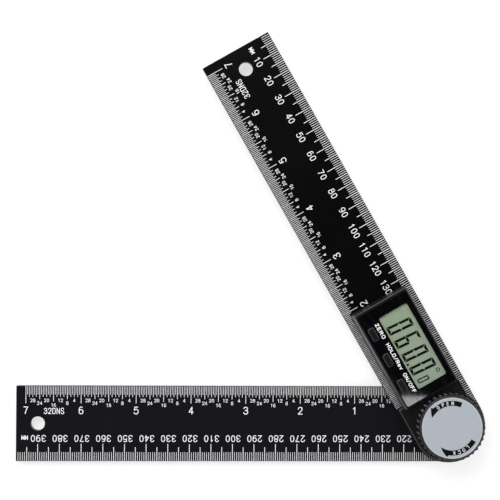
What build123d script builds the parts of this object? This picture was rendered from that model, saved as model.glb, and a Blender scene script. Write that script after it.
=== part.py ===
"""Digital angle finder: two ruler arms on one pivot, a display box and a lock knob.

Millimetres, +Z up. The origin is on the pivot axis, in the plane that the tool lies on. The
lower arm points along -X. The upper arm, with everything it carries, is modelled along +X and
turned to its place at the end, so its own "left" is +Y (the inch edge) and "right" is -Y.
"""
from build123d import *
import math
import os

# ---- driving dimensions -------------------------------------------------------------------
# Arms
arm_reach = 200.0               # pivot axis to the square end
arm_width = 34.8
arm_thickness = 3.0
arm_corner_radius = 0.3
arm_edge_bevel = 0.15
hang_hole_diameter = 6.5
hang_hole_from_end = 10.0
opening_angle = 60.0            # between the two arms at rest

# Clearances
running_gap = 0.05              # between pieces that turn or slide on each other
fit_gap = 0.05                  # between pieces that are glued, clipped or screwed in place

# Pivot stud
stud_head_diameter = 15.6
stud_head_thickness = 0.8
stud_cap_thickness = 0.45
stud_key_diameter = 8.4
stud_shank_diameter = 6.8
stud_washer_flats = 5.4
stud_thread_diameter = 5.0
stud_thread_length = 3.0        # threaded part above the washer flats
stop_screw_diameter = 2.4
stop_screw_length = 5.0
stop_screw_head_diameter = 6.6
stop_screw_head_height = 1.2
stop_screw_slot_width = 0.8

# Angle encoder and friction ring, between the arms
friction_ring_thickness = 0.3
friction_ring_width = 2.6
encoder_outer_diameter = 26.8
encoder_inner_diameter = 13.6
encoder_board_thickness = 0.8
encoder_recess_depth = 1.0
encoder_recess_gap = 0.2

# Bush of the upper arm
bush_diameter = 10.4
bush_flange_diameter = 12.8
bush_flange_thickness = 0.8

# Housing
boss_diameter = 33.6
boss_height = 3.9
boss_ceiling = 1.5
boss_rim_wall = 2.0
boss_rib_count = 8
boss_rib_width = 1.2
boss_core_diameter = 20.8       # solid middle that carries the washer
boss_edge_bevel = 0.5
shoulder_reach = 18.0           # pivot to where the low shoulder ends and the inch scale begins
shoulder_fillet = 4.0
box_near = 16.4                 # pivot to the near wall of the display box
box_far = 66.9                  # pivot to the far wall, at the arm
box_width = 28.6                # at the arm
box_height = 7.3
box_draft = 12.0                # degrees, above the boss's level
box_wall = 1.3
box_top_wall = 0.7
box_corner_radius = 1.2
box_edge_bevel = 0.3
window_lip = 0.3                # the rim stands this far above the window plate
window_rim_near = 0.7           # width of the rim at the box's top
window_rim_far = 1.4
window_rim_side = 0.9

# Window plate and display
window_thickness = 0.6
window_corner_radius = 0.8
lcd_margin_near = 3.1           # window plate's edge to the glass
lcd_margin_far = 3.4
lcd_margin_side = 0.8
lcd_to_buttons = 2.75
lcd_thickness = 1.6
lcd_frame_wall = 1.0
zebra_width = 1.8
zebra_inset = 1.3               # glass edge to the middle of the strip

# Buttons
button_length = 6.4
button_width = 3.0
button_corner_radius = 0.75
button_top_bevel = 0.3
button_margin_side = 1.24       # window plate's edge to the buttons
button_margin_near = 9.7        # window plate's edge to the middle of the first button
button_pitch = 13.5
button_names = ("power_button", "hold_button", "zero_button")
button_travel = 0.3
button_hole_gap = 0.1
button_flange = 0.5
button_proud = 0.35             # above the window plate
switch_length = 6.0
switch_width = 3.2
switch_height = 1.1
switch_plunger_diameter = 1.8
switch_plunger_height = 0.4

# Circuit board
board_thickness = 0.8
board_corner_radius = 1.0
chip_gap = 0.3                  # between the chip and the frame's ribs on either side of it
chip_height = 0.9
chip_offset = 7.0               # towards the pivot from the middle of the glass
flex_width = 5.0
flex_thickness = 0.2
flex_x = 12.5                   # where the flat cable leaves the encoder ring
flex_bend_radius = 1.0
flex_overlap = 3.0              # length that lies under the board

# Battery and its door
battery_diameter = 20.0
battery_thickness = 3.2
contact_thickness = 0.2
contact_space = 0.4             # between the cell and the board
contact_width = 4.0
contact_leaf_length = 12.0
holder_wall = 1.2
door_hole_diameter = 20.9
door_flange_diameter = 24.8
door_flange_thickness = 0.75
door_seat_web = 0.6
door_lug_height = 0.55
door_lug_reach = 0.75
door_lug_angle = 34.0
door_slot_width = 1.6
door_slot_length = 14.0
door_slot_depth = 0.9
seal_width = 0.7
seal_height = 0.4

# Housing screws
screw_diameter = 1.9
screw_head_diameter = 3.6
screw_head_height = 0.9
screw_bite = 2.4                # length inside the housing
screw_inset = 2.5               # from the box's inner walls
screw_post_side = 4.4

# Lock knob and what it bears on
washer_diameter = 19.6
washer_thickness = 0.8
spring_outer_diameter = 17.2
spring_inner_diameter = 9.2
spring_thickness = 0.35         # pressed flat, as it is when the knob is locked
spring_recess_depth = 0.4
spring_recess_diameter = 18.0
knob_diameter = 30.9            # over the teeth
knob_tooth_count = 36
knob_tooth_height = 0.45
knob_tooth_root = 1.7           # width where a tooth leaves the wheel
knob_tooth_tip = 0.7
knob_collar_diameter = 29.8
knob_collar_height = 0.7        # plain rim above the teeth
knob_skirt_gap = 0.4            # above the boss
knob_height = 6.4
knob_skirt_wall = 1.6
knob_top_wall = 1.5
knob_hub_diameter = 15.6
knob_edge_bevel = 0.5
knob_rib_count = 6
knob_rib_width = 1.2
knob_lift = 0.6                 # how far the knob rises when it is opened
label_diameter = 28.0
label_thickness = 0.35
label_lip = 0.08                # the rim stands this far above the label
insert_diameter = 8.0

# ---- heights and places worked out from them ----------------------------------------------
upper_arm_angle = 180.0 - opening_angle
lower_top = arm_thickness
upper_bottom = lower_top + friction_ring_thickness
upper_top = upper_bottom + arm_thickness
boss_top = upper_top + boss_height
box_top = upper_top + box_height

stud_head_bottom = stud_cap_thickness + fit_gap
stud_head_top = stud_head_bottom + stud_head_thickness
washer_bottom = boss_top + running_gap
washer_top = washer_bottom + washer_thickness
stud_flats_top = washer_top + knob_lift + running_gap
stud_top = stud_flats_top + stud_thread_length
insert_bottom = washer_top + running_gap
insert_top = stud_top - knob_lift
stop_head_bottom = stud_top + running_gap

knob_bottom = boss_top + knob_skirt_gap
knob_top = knob_bottom + knob_height
label_bottom = knob_top - label_lip - label_thickness

box_lean = (box_height - boss_height) * math.tan(math.radians(box_draft))    # of each wall
window_near = box_near + box_lean + window_rim_near
window_far = box_far - box_lean - window_rim_far
window_width = box_width - 2 * (box_lean + window_rim_side)
window_centre_x = (window_near + window_far) / 2
window_top = box_top - window_lip
window_bottom = window_top - window_thickness
box_ceiling = window_bottom - box_top_wall

button_centre_y = window_width / 2 - button_margin_side - button_width / 2
button_first_x = window_near + button_margin_near
button_xs = [button_first_x + i * button_pitch for i in range(len(button_names))]

lcd_near = window_near + lcd_margin_near
lcd_far = window_far - lcd_margin_far
lcd_left = button_centre_y - button_width / 2 - lcd_to_buttons
lcd_right = lcd_margin_side - window_width / 2
lcd_centre_x = (lcd_near + lcd_far) / 2
lcd_centre_y = (lcd_left + lcd_right) / 2
lcd_length = lcd_far - lcd_near
lcd_width = lcd_left - lcd_right
lcd_top = window_bottom - fit_gap
lcd_bottom = lcd_top - lcd_thickness
frame_room = lcd_width - 2 * (zebra_inset + 1.5 * zebra_width)   # between the zebra strips' ribs
chip_side = frame_room - 2 * chip_gap
chip_x = lcd_centre_x - chip_offset
battery_x = window_centre_x

door_recess_top = upper_bottom + door_flange_thickness + 2 * running_gap
door_web_top = door_recess_top + door_seat_web
door_top = door_web_top + running_gap + door_lug_height
door_spigot_diameter = door_hole_diameter - 2 * running_gap
battery_bottom = door_top + running_gap
battery_top = battery_bottom + battery_thickness
board_bottom = battery_top + contact_space
board_top = board_bottom + board_thickness

cavity_near = box_near + box_wall
cavity_far = box_far - box_wall - box_lean
cavity_width = box_width - 2 * (box_wall + box_lean / 2)
switch_top = board_top + switch_height + switch_plunger_height
screw_points = [
    (x, side * (cavity_width / 2 - screw_inset))
    for x in (cavity_near + screw_inset, cavity_far - screw_inset)
    for side in (1, -1)
]


# ---- shapes used by several pieces ---------------------------------------------------------
def disc(diameter, bottom, top, x=0.0, y=0.0):
    """A round plate or pin between two heights."""
    return Pos(x, y, bottom) * extrude(Circle(diameter / 2), top - bottom)


def tube(outer, inner, bottom, top, x=0.0, y=0.0):
    """A ring between two heights."""
    return Pos(x, y, bottom) * extrude(Circle(outer / 2) - Circle(inner / 2), top - bottom)


def slab(x_from, x_to, y_from, y_to, bottom, top, corner=0.0):
    """A rectangular plate given by its edges, with rounded upright corners if asked."""
    length, width = x_to - x_from, y_to - y_from
    outline = RectangleRounded(length, width, corner) if corner else Rectangle(length, width)
    return Pos((x_from + x_to) / 2, (y_from + y_to) / 2, bottom) * extrude(outline, top - bottom)


def double_flat(diameter, flats, bottom, top):
    """A round bar with two flats, or the hole that fits it."""
    outline = Circle(diameter / 2) & Rectangle(diameter, flats)
    return Pos(0, 0, bottom) * extrude(outline, top - bottom)


def upright_edges(part, x_limit=None):
    """The vertical edges, or only those beyond a given x."""
    edges = part.edges().filter_by(Axis.Z)
    return edges.filter_by(lambda e: e.center().X > x_limit) if x_limit is not None else edges


# ---- arms ----------------------------------------------------------------------------------
def arm_blank(bottom):
    """A ruler arm along +X: round about the pivot, square at the end, with its hanging hole."""
    outline = Circle(arm_width / 2) + Pos(arm_reach / 2, 0) * Rectangle(arm_reach, arm_width)
    blank = Pos(0, 0, bottom) * extrude(outline, arm_thickness)
    blank = fillet(upright_edges(blank, arm_reach - 1), arm_corner_radius)
    blank = chamfer(blank.faces().sort_by(Axis.Z)[-1].outer_wire().edges(), arm_edge_bevel)
    hole_x = arm_reach - hang_hole_from_end
    return blank - disc(hang_hole_diameter, bottom, bottom + arm_thickness, hole_x)


def encoder_recess(bottom, top):
    """The ring-shaped pocket that an encoder board is let into."""
    return tube(
        encoder_outer_diameter + 2 * encoder_recess_gap,
        encoder_inner_diameter - 2 * encoder_recess_gap,
        bottom,
        top,
    )


def make_lower_arm():
    arm = arm_blank(0)
    arm -= disc(stud_head_diameter + 2 * fit_gap, 0, stud_head_top)
    arm -= double_flat(
        stud_key_diameter + 2 * fit_gap, stud_shank_diameter + 2 * fit_gap, stud_head_top, lower_top
    )
    return Rot(0, 0, 180) * (arm - encoder_recess(lower_top - encoder_recess_depth, lower_top))


def make_upper_arm():
    arm = arm_blank(upper_bottom)
    arm -= disc(bush_diameter, upper_bottom, upper_top)
    arm -= encoder_recess(upper_bottom, upper_bottom + encoder_recess_depth)
    flex_half = flex_width / 2 + encoder_recess_gap
    arm -= slab(
        flex_x - flex_bend_radius / 2, flex_x + flex_bend_radius / 2,
        -flex_half, flex_half, upper_bottom, upper_top,
    )
    # stepped, slotted hole of the battery door: seat, web, then room for the lugs to turn
    lug_room = door_hole_diameter + 2 * (door_lug_reach + running_gap)
    arm -= disc(door_flange_diameter + 4 * running_gap, upper_bottom, door_recess_top, battery_x)
    arm -= disc(door_hole_diameter, door_recess_top, door_web_top, battery_x)
    arm -= disc(lug_room, door_web_top, upper_top, battery_x)
    arm -= Pos(battery_x, 0, 0) * Rot(0, 0, 45) * door_lugs(
        door_recess_top, door_web_top, lug_room / 2, door_lug_angle + 3
    )
    for x, y in screw_points:
        arm -= disc(screw_diameter + 2 * fit_gap, upper_bottom, upper_top, x, y)
        arm -= disc(screw_head_diameter + 2 * fit_gap, upper_bottom,
                    upper_bottom + screw_head_height, x, y)
    return arm


# ---- pivot ---------------------------------------------------------------------------------
def make_pivot_stud():
    stud = disc(stud_head_diameter, stud_head_bottom, stud_head_top)
    stud += double_flat(stud_key_diameter, stud_shank_diameter, stud_head_top, lower_top)
    stud += disc(stud_shank_diameter, lower_top, boss_top - spring_recess_depth)
    stud += double_flat(
        stud_shank_diameter, stud_washer_flats, boss_top - spring_recess_depth, stud_flats_top
    )
    stud += disc(stud_thread_diameter, stud_flats_top, stud_top)
    return stud - disc(
        stop_screw_diameter + 2 * fit_gap, stud_top - stop_screw_length - fit_gap, stud_top
    )


def make_stud_cap():
    return disc(stud_head_diameter, 0, stud_cap_thickness)


def make_stop_screw():
    """Pan-head screw in the stud's end; its head is the stop for the opened knob."""
    screw = disc(stop_screw_diameter, stud_top - stop_screw_length, stop_head_bottom)
    head_top = stop_head_bottom + stop_screw_head_height
    head = disc(stop_screw_head_diameter, stop_head_bottom, head_top)
    slot = stop_screw_head_diameter
    head -= slab(
        -slot, slot, -stop_screw_slot_width / 2, stop_screw_slot_width / 2,
        head_top - stop_screw_head_height / 2, head_top,
    )
    return screw + head


def make_friction_ring():
    outer = arm_width - 2 * arm_edge_bevel - 2 * fit_gap
    return tube(outer, outer - 2 * friction_ring_width, lower_top, upper_bottom)


def make_pivot_bush():
    bush = disc(bush_diameter, upper_bottom + running_gap, upper_top)
    bush += disc(bush_flange_diameter, upper_top, upper_top + bush_flange_thickness)
    bore = stud_shank_diameter + 2 * running_gap
    return bush - disc(bore, upper_bottom, upper_top + bush_flange_thickness)


def encoder_board(bottom):
    return tube(
        encoder_outer_diameter, encoder_inner_diameter, bottom, bottom + encoder_board_thickness
    )


# ---- housing -------------------------------------------------------------------------------
def low_shoulder_outline():
    """Boss circle, the full-width shoulder on the inch side and the root of the box."""
    boss_radius = boss_diameter / 2
    outline = Circle(boss_radius)
    outline += Pos(shoulder_reach / 2, boss_radius / 2) * Rectangle(shoulder_reach, boss_radius)
    outline += Pos(shoulder_reach / 2, -box_width / 4) * Rectangle(shoulder_reach, box_width / 2)
    meet_x = math.sqrt(boss_radius**2 - (box_width / 2) ** 2)
    inner_corner = outline.vertices().sort_by_distance((meet_x, -box_width / 2))[0]
    return fillet(inner_corner, shoulder_fillet)


def box_block():
    """The display box: upright to the boss's level, then drafted, with a bevelled top edge."""
    length = box_far - box_near
    outline = RectangleRounded(length, box_width, box_corner_radius)
    upper = extrude(outline, box_height - boss_height, taper=box_draft)
    upper = chamfer(upper.faces().sort_by(Axis.Z)[-1].edges(), box_edge_bevel)
    block = extrude(outline, boss_height) + Pos(0, 0, boss_height) * upper
    return Pos(box_near + length / 2, 0, upper_top) * block


def box_root():
    """Joins the box's near wall to the shoulder below the knob's level."""
    return slab(shoulder_reach / 2, box_near + box_wall, -box_width / 2, box_width / 2,
                upper_top, boss_top)


def boss_hollow():
    """Ring space between the boss's rim and its solid middle, crossed by radial ribs."""
    ceiling = boss_top - boss_ceiling
    hollow = tube(boss_diameter - 2 * boss_rim_wall, boss_core_diameter, upper_top, ceiling)
    for i in range(boss_rib_count):
        turn = (i + 0.5) * 360 / boss_rib_count
        hollow -= Rot(0, 0, turn) * slab(
            0, boss_diameter / 2, -boss_rib_width / 2, boss_rib_width / 2, upper_top, ceiling
        )
    return hollow


def box_cavity():
    """Room for the board, the display and the battery, with posts and the battery holder."""
    cavity = slab(cavity_near, cavity_far, -cavity_width / 2, cavity_width / 2,
                  upper_top, box_ceiling, box_corner_radius / 2)
    ledge = board_bottom - fit_gap
    half = screw_post_side / 2
    for x, y in screw_points:
        out_x = cavity_near if x < window_centre_x else cavity_far
        out_y = math.copysign(cavity_width / 2, y)
        cavity -= slab(min(x - half, out_x), max(x + half, out_x),
                       min(y - half, out_y), max(y + half, out_y), upper_top, ledge)
    holder_inner = battery_diameter + 4 * contact_thickness
    holder = tube(holder_inner + 2 * holder_wall, holder_inner, upper_top, ledge, battery_x)
    for turn in (-45, 45, 135, 225):
        holder += Pos(battery_x, 0, 0) * Rot(0, 0, turn) * slab(
            holder_inner / 2 + holder_wall / 2, cavity_width,
            -holder_wall / 2, holder_wall / 2, upper_top, ledge,
        )
    notch = contact_width + 4 * fit_gap
    holder -= slab(battery_x, battery_x + battery_diameter, -notch / 2, notch / 2,
                   upper_top, ledge)
    return cavity - holder


def make_housing():
    low = Pos(0, 0, upper_top) * extrude(low_shoulder_outline(), boss_height)
    low = chamfer(low.faces().sort_by(Axis.Z)[-1].outer_wire().edges(), boss_edge_bevel)
    shell = low + box_block() + box_root()
    shell -= box_cavity()
    shell -= boss_hollow()
    # centre: bore for the stud, seat for the bush's flange, recess for the wave spring
    shell -= disc(stud_shank_diameter + 1.0, upper_top, boss_top)
    shell -= disc(bush_flange_diameter + 4 * fit_gap, upper_top,
                  upper_top + bush_flange_thickness + fit_gap)
    shell -= disc(spring_recess_diameter, boss_top - spring_recess_depth, boss_top)
    # passage of the flat cable from the boss into the box
    flex_half = flex_width / 2 + encoder_recess_gap
    shell -= slab(flex_x - flex_bend_radius, cavity_near, -flex_half, flex_half,
                  upper_top, boss_top - boss_ceiling)
    # window plate's recess, display opening and button wells
    shell -= slab(window_near - fit_gap, window_far + fit_gap,
                  -window_width / 2 - fit_gap, window_width / 2 + fit_gap,
                  window_bottom, box_top, window_corner_radius)
    shell -= slab(lcd_near - 2 * fit_gap, lcd_far + 2 * fit_gap,
                  lcd_right - 2 * fit_gap, lcd_left + 2 * fit_gap, box_ceiling, window_bottom)
    for x in button_xs:
        shell -= button_slab(x, box_ceiling, window_bottom, button_hole_gap, 0)
    for x, y in screw_points:
        shell -= disc(screw_diameter + 2 * fit_gap, upper_top,
                      upper_top + screw_bite + fit_gap, x, y)
    return shell


def make_housing_screws():
    """Four flat-head screws, flush with the upper arm's underside, each a separate solid."""
    head_top = upper_bottom + screw_head_height
    screw = disc(screw_head_diameter, upper_bottom, head_top)
    screw += disc(screw_diameter, head_top, upper_top + screw_bite)
    return Compound(children=[Pos(x, y, 0) * screw for x, y in screw_points])


# ---- window, display and buttons -----------------------------------------------------------
def button_slab(x, bottom, top, gap=0.0, corner=button_corner_radius):
    return slab(x - button_length / 2 - gap, x + button_length / 2 + gap,
                button_centre_y - button_width / 2 - gap, button_centre_y + button_width / 2 + gap,
                bottom, top, corner)


def make_display_window():
    plate = slab(window_near, window_far, -window_width / 2, window_width / 2,
                 window_bottom, window_top, window_corner_radius)
    for x in button_xs:
        plate -= button_slab(x, window_bottom, window_top, button_hole_gap)
    return plate


def make_lcd_glass():
    """Two panes; the lower one is a little shorter, which leaves a step at each end."""
    middle = (lcd_bottom + lcd_top) / 2
    step = zebra_width / 2
    upper_pane = slab(lcd_near, lcd_far, lcd_right, lcd_left, middle, lcd_top)
    lower_pane = slab(lcd_near + step, lcd_far - step, lcd_right, lcd_left, lcd_bottom, middle)
    return upper_pane + lower_pane


def zebra_slab(side, gap, bottom, top):
    """One strip, or the slot for it, along a long side of the glass."""
    middle = lcd_centre_y + side * (lcd_width / 2 - zebra_inset)
    half = lcd_length / 2 - zebra_inset + gap
    return slab(lcd_centre_x - half, lcd_centre_x + half,
                middle - zebra_width / 2 - gap, middle + zebra_width / 2 + gap, bottom, top)


def make_zebra_strips():
    return Compound(children=[zebra_slab(side, 0, board_top, lcd_bottom) for side in (1, -1)])


def make_lcd_frame():
    """Moulded frame on the board: glass pocket, slots for the strips, room for the chip."""
    wall_right = max(lcd_right - lcd_frame_wall, fit_gap - cavity_width / 2)
    frame = slab(lcd_near - lcd_frame_wall, lcd_far + lcd_frame_wall,
                 wall_right, lcd_left + lcd_frame_wall, board_top, box_ceiling - fit_gap)
    frame -= slab(lcd_near - fit_gap, lcd_far + fit_gap, lcd_right - fit_gap, lcd_left + fit_gap,
                  lcd_bottom, box_ceiling)
    for side in (1, -1):
        frame -= zebra_slab(side, fit_gap, board_top, lcd_bottom)
    return frame - slab(lcd_near + 2 * zebra_width, lcd_far - 2 * zebra_width,
                        lcd_centre_y - frame_room / 2, lcd_centre_y + frame_room / 2,
                        board_top, lcd_bottom)


def make_button(x):
    """Cap through the window plate with a bevelled top, and a flange under the housing's top wall."""
    rest = switch_top + button_travel + running_gap
    cap = button_slab(x, rest, window_top + button_proud)
    cap = chamfer(cap.faces().sort_by(Axis.Z)[-1].edges(), button_top_bevel)
    half = button_length / 2 + button_flange
    return cap + slab(x - half, x + half, button_centre_y - button_width / 2 - button_flange,
                      button_centre_y + button_width / 2, rest, box_ceiling - running_gap)


# ---- electronics ---------------------------------------------------------------------------
def make_main_board():
    return slab(cavity_near + fit_gap, cavity_far - fit_gap, -cavity_width / 2 + fit_gap,
                cavity_width / 2 - fit_gap, board_bottom, board_top, board_corner_radius)


def make_controller_chip():
    """Flat square package with a chamfered first-pin corner."""
    chip = slab(chip_x - chip_side / 2, chip_x + chip_side / 2, lcd_centre_y - chip_side / 2,
                lcd_centre_y + chip_side / 2, board_top, board_top + chip_height)
    beyond = (chip_x - chip_side, lcd_centre_y + chip_side, board_top)
    return chamfer(upright_edges(chip).sort_by_distance(beyond)[0], chip_side / 10)


def make_tact_switches():
    switches = []
    for x in button_xs:
        base = slab(x - switch_length / 2, x + switch_length / 2,
                    button_centre_y - switch_width / 2, button_centre_y + switch_width / 2,
                    board_top, board_top + switch_height)
        switches.append(base + disc(switch_plunger_diameter, board_top + switch_height, switch_top,
                                    x, button_centre_y))
    return Compound(children=switches)


def make_sensor_flex():
    """Flat cable: up from the encoder ring, then along under the board."""
    low = upper_bottom + encoder_recess_depth + flex_thickness / 2
    high = board_bottom - flex_thickness / 2
    run = min(boss_top - boss_ceiling - flex_thickness - fit_gap, high)
    rise = cavity_near + 2 * flex_bend_radius
    path = FilletPolyline((flex_x, low), (flex_x, run), (cavity_near, run), (rise, high),
                          (rise + flex_overlap, high), radius=flex_bend_radius / 4)
    ribbon = make_face(offset(path, flex_thickness / 2).edges())
    return extrude(Plane.XZ * ribbon, flex_width / 2, both=True)


# ---- battery and door ----------------------------------------------------------------------
def make_battery():
    """Coin cell: can below, narrower cap above."""
    step = battery_thickness / 4
    can = disc(battery_diameter, battery_bottom, battery_top - step, battery_x)
    return can + disc(battery_diameter - 2 * step, battery_top - step, battery_top, battery_x)


def make_contact_negative():
    """Bowed leaf under the board that presses on the cell's cap."""
    half = contact_leaf_length / 2
    t = contact_thickness
    low, high = battery_top, board_bottom
    outline = Polyline((-half, high), (-half + 2, high), (0, low + t), (half - 2, high),
                       (half, high), (half, high - t), (half - 2, high - t), (0, low),
                       (-half + 2, high - t), (-half, high - t), close=True)
    leaf = extrude(Plane.XZ * make_face(outline), contact_width / 2, both=True)
    return Pos(battery_x, 0, 0) * leaf


def make_contact_positive():
    """Angle soldered under the board; its leg lies against the side of the cell."""
    t = contact_thickness
    inner = battery_x + battery_diameter / 2 + fit_gap
    leg = slab(inner, inner + t, -contact_width / 2, contact_width / 2,
               upper_top, board_bottom)
    return leg + slab(inner, inner + contact_width, -contact_width / 2, contact_width / 2,
                      board_bottom - t, board_bottom)


def door_lugs(bottom, top, radius, spread):
    """Two opposite sectors that lock the door, or the slots that they pass through."""
    half = math.radians(spread / 2)
    reach = radius * 1.2
    wedge = make_face(Polyline((0, 0), (reach, -reach * math.tan(half)),
                               (reach, reach * math.tan(half)), close=True))
    sector = wedge & Circle(radius)
    lug = Pos(0, 0, bottom) * extrude(sector, top - bottom)
    return lug + Rot(0, 0, 180) * lug


def make_battery_door():
    """Coin-slot door: flange flush with the arm, spigot, and two lugs over the arm's web."""
    flange_bottom = upper_bottom + running_gap
    flange_top = flange_bottom + door_flange_thickness
    door = disc(door_flange_diameter, flange_bottom, flange_top)
    door += disc(door_spigot_diameter, flange_top, door_top)
    door += door_lugs(door_web_top + running_gap, door_top,
                      door_hole_diameter / 2 + door_lug_reach, door_lug_angle)
    door -= tube(door_spigot_diameter + 2 * seal_width, door_spigot_diameter,
                 flange_top - seal_height, flange_top)
    door -= slab(-door_slot_length / 2, door_slot_length / 2, -door_slot_width / 2,
                 door_slot_width / 2, flange_bottom, flange_bottom + door_slot_depth)
    return Pos(battery_x, 0, 0) * door


def make_door_seal():
    """Flat ring round the spigot, let into the flange."""
    top = door_recess_top - running_gap
    return tube(door_spigot_diameter + 2 * seal_width, door_spigot_diameter, top - seal_height, top,
                battery_x)


# ---- lock knob -----------------------------------------------------------------------------
def make_thrust_washer():
    washer = disc(washer_diameter, washer_bottom, washer_top)
    return washer - double_flat(
        stud_shank_diameter + 2 * running_gap, stud_washer_flats + 2 * running_gap,
        washer_bottom, washer_top,
    )


def make_wave_spring():
    bottom = boss_top - spring_recess_depth
    return tube(spring_outer_diameter, spring_inner_diameter, bottom, bottom + spring_thickness)


def toothed_wheel():
    """A wheel cut to one outline of tapered teeth, under a plain collar with a bevelled edge."""
    tip = knob_diameter / 2
    root = tip - knob_tooth_height
    corners = []
    for i in range(knob_tooth_count):
        for radius, across in ((root, -knob_tooth_root), (tip, -knob_tooth_tip),
                               (tip, knob_tooth_tip), (root, knob_tooth_root)):
            turn = 2 * math.pi * i / knob_tooth_count + math.asin(across / 2 / radius)
            corners.append((radius * math.cos(turn), radius * math.sin(turn)))
    teeth = make_face(Polyline(*corners, close=True))
    wheel = Pos(0, 0, knob_bottom) * extrude(teeth, knob_height - knob_collar_height)
    collar = disc(knob_collar_diameter, knob_top - knob_collar_height, knob_top)
    return wheel + chamfer(collar.faces().sort_by(Axis.Z)[-1].edges(), knob_edge_bevel)


def make_knob():
    """Cup-shaped knob: toothed skirt, ribbed hub for the insert, recess for the label."""
    wheel = toothed_wheel()
    ceiling = label_bottom - knob_top_wall
    skirt_inner = knob_diameter - 2 * (knob_tooth_height + knob_skirt_wall)
    hollow = tube(skirt_inner, knob_hub_diameter, insert_bottom, ceiling)
    for i in range(knob_rib_count):
        hollow -= Rot(0, 0, i * 360 / knob_rib_count) * slab(
            0, knob_diameter / 2, -knob_rib_width / 2, knob_rib_width / 2, insert_bottom, ceiling
        )
    wheel -= hollow
    wheel -= disc(skirt_inner, knob_bottom, insert_bottom)
    wheel -= disc(label_diameter + 2 * fit_gap, label_bottom, knob_top)
    return wheel - disc(insert_diameter, insert_bottom, label_bottom)


def make_knob_insert():
    """Threaded brass insert, relieved below to pass over the stud's flats."""
    insert = disc(insert_diameter - fit_gap, insert_bottom, insert_top)
    insert -= disc(stud_thread_diameter + 2 * running_gap, insert_bottom, insert_top)
    relief_top = stud_flats_top + running_gap
    return insert - disc(stud_shank_diameter + 2 * running_gap, insert_bottom, relief_top)


def make_knob_label():
    return disc(label_diameter, label_bottom, label_bottom + label_thickness)


# ---- build and write -----------------------------------------------------------------------
fixed_pieces = {
    "lower_arm": make_lower_arm(),
    "pivot_stud": make_pivot_stud(),
    "stud_cap": make_stud_cap(),
    "stop_screw": make_stop_screw(),
    "encoder_rotor": encoder_board(lower_top - encoder_recess_depth),
    "friction_ring": make_friction_ring(),
    "thrust_washer": make_thrust_washer(),
    "wave_spring": make_wave_spring(),
    "knob": make_knob(),
    "knob_insert": make_knob_insert(),
    "knob_label": make_knob_label(),
}
upper_pieces = {
    "upper_arm": make_upper_arm(),
    "pivot_bush": make_pivot_bush(),
    "encoder_stator": encoder_board(upper_bottom + encoder_recess_depth - encoder_board_thickness),
    "housing": make_housing(),
    "housing_screws": make_housing_screws(),
    "display_window": make_display_window(),
    "lcd_glass": make_lcd_glass(),
    "lcd_frame": make_lcd_frame(),
    "zebra_strips": make_zebra_strips(),
    "main_board": make_main_board(),
    "controller_chip": make_controller_chip(),
    "tact_switches": make_tact_switches(),
    "sensor_flex": make_sensor_flex(),
    "battery": make_battery(),
    "contact_negative": make_contact_negative(),
    "contact_positive": make_contact_positive(),
    "battery_door": make_battery_door(),
    "door_seal": make_door_seal(),
}
for name, x in zip(button_names, button_xs):
    upper_pieces[name] = make_button(x)

os.makedirs("parts", exist_ok=True)
for name, piece in fixed_pieces.items():
    export_step(piece, f"parts/{name}.step")
for name, piece in upper_pieces.items():
    export_step(Rot(0, 0, upper_arm_angle) * piece, f"parts/{name}.step")
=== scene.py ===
import math
import bpy
import numpy as np
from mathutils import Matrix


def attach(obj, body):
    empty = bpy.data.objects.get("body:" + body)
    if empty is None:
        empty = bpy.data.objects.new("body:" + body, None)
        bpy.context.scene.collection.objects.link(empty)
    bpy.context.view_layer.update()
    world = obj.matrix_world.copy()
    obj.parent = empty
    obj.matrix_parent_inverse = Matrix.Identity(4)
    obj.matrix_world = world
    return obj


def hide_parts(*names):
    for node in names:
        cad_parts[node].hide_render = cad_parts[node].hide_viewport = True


# Digital angle finder: two ruler arms on one pivot, a display box and a lock knob. Metres, +Z up.
# The lower arm points along -X and the upper one stands 60 degrees from it.

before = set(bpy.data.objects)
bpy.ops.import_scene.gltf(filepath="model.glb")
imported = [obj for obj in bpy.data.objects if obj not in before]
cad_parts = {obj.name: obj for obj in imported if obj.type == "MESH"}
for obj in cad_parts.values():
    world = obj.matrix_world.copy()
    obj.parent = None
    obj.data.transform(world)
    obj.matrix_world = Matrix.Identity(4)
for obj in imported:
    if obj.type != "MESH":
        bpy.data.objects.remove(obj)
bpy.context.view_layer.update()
MM = 0.001                  # the pieces below are drawn in millimetres


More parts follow.
